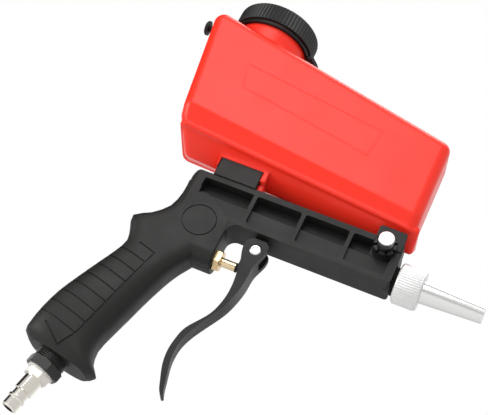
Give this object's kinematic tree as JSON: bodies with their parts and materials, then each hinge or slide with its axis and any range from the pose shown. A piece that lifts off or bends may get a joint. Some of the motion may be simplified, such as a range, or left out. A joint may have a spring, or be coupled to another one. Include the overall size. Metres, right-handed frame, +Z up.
{
  "type": "gravity-feed abrasive blaster gun",
  "caption": "Hand-held air blaster gun with a red gravity-feed media hopper and screw cap, lever trigger, push-pull media valve and collar-held nozzle.",
  "frame": {"origin": "centre of the nozzle outlet, on its end face", "axes": "+X along the jet, out of the nozzle; +Z up from the rail to the hopper; +Y across the gun, away from the media pin's head"},
  "size_m": [0.2344, 0.0556, 0.303],
  "materials": {
    "black_body": "fine matte grain, glass-filled nylon",
    "black_lever": "fine matte grain",
    "black_bush": "smooth satin",
    "black_cap": "finely ribbed satin",
    "black_strap": "soft flexible plastic",
    "red_hopper": "semi-gloss moulded polyethylene",
    "black_rubber": "smooth",
    "white_liner": "foam liner",
    "white_seat": "sealing plastic",
    "bright_pin": "bright plated",
    "spring_steel": "bright",
    "brass_nut": "machined",
    "brass_stem": "machined",
    "black_metal": "black oxide",
    "nickel_plug": "nickel plated",
    "bright_nozzle": "fine turned satin",
    "alu_collar": "knurled, anodised clear"
  },
  "bodies": {
    "gun": {"gun_body": "black_body", "hopper_saddle": "black_body", "hopper_shell": "red_hopper", "outlet_gasket": "black_rubber", "cap_tether": "black_strap", "tether_stud": "black_strap", "hanger_stud": "black_strap", "media_bush_near": "black_bush", "media_bush_far": "black_bush", "pin_oring_near": "black_rubber", "pin_oring_far": "black_rubber", "trigger_pin": "bright_pin", "trigger_pin_washer": "spring_steel", "valve_seat": "white_seat", "gland_nut": "brass_nut", "gland_oring": "black_rubber", "valve_spring": "spring_steel", "inlet_bushing": "black_metal", "inlet_washer": "white_seat", "air_plug": "nickel_plug", "air_jet": "brass_nut", "nozzle_seal": "black_rubber"},
    "cap_lift": {"cap_liner": "white_liner"},
    "cap": {"filler_cap": "black_cap"},
    "media_valve": {"media_pin": "bright_pin", "pin_clip": "spring_steel"},
    "trigger": {"trigger_lever": "black_lever"},
    "air_valve": {"valve_stem": "brass_stem", "stem_ring": "black_rubber", "valve_poppet": "brass_stem"},
    "nozzle": {"nozzle": "bright_nozzle"},
    "collar": {"nozzle_collar": "alu_collar"}
  },
  "joints": [
    {"name": "trigger_pull", "type": "hinge", "parent": "gun", "child": "trigger", "pos_m": [-0.1348, 0, -0.0175], "axis": [0, 1, 0], "range_deg": [0, 17], "stiffness_Nm_per_rad": 0.24, "springref_deg": -17.19},
    {"name": "valve_push", "type": "slide", "parent": "gun", "child": "air_valve", "axis": [-1, 0, 0], "range_m": [0, 0.00373], "deforming": ["valve_spring"]},
    {"name": "media_valve_slide", "type": "slide", "parent": "gun", "child": "media_valve", "axis": [0, 1, 0], "range_m": [0, 0.0059]},
    {"name": "cap_lift_off", "type": "slide", "parent": "gun", "child": "cap_lift", "axis": [0, 0, 1], "range_m": [0, 0.05]},
    {"name": "cap_turn", "type": "hinge", "parent": "cap_lift", "child": "cap", "pos_m": [-0.187, 0, 0.1357], "axis": [0, 0, 1], "continuous": true},
    {"name": "nozzle_out", "type": "slide", "parent": "gun", "child": "nozzle", "axis": [1, 0, 0], "range_m": [0, 0.00448]},
    {"name": "collar_turn", "type": "hinge", "parent": "nozzle", "child": "collar", "pos_m": [-0.0455, 0, 0], "axis": [1, 0, 0], "range_deg": [0, 1080]}
  ],
  "couplings": [
    {"joint": "trigger_pull", "follows": "valve_push", "rad_per_m": 79.365},
    {"joint": "collar_turn", "follows": "nozzle_out", "rad_per_m": 4200}
  ]
}
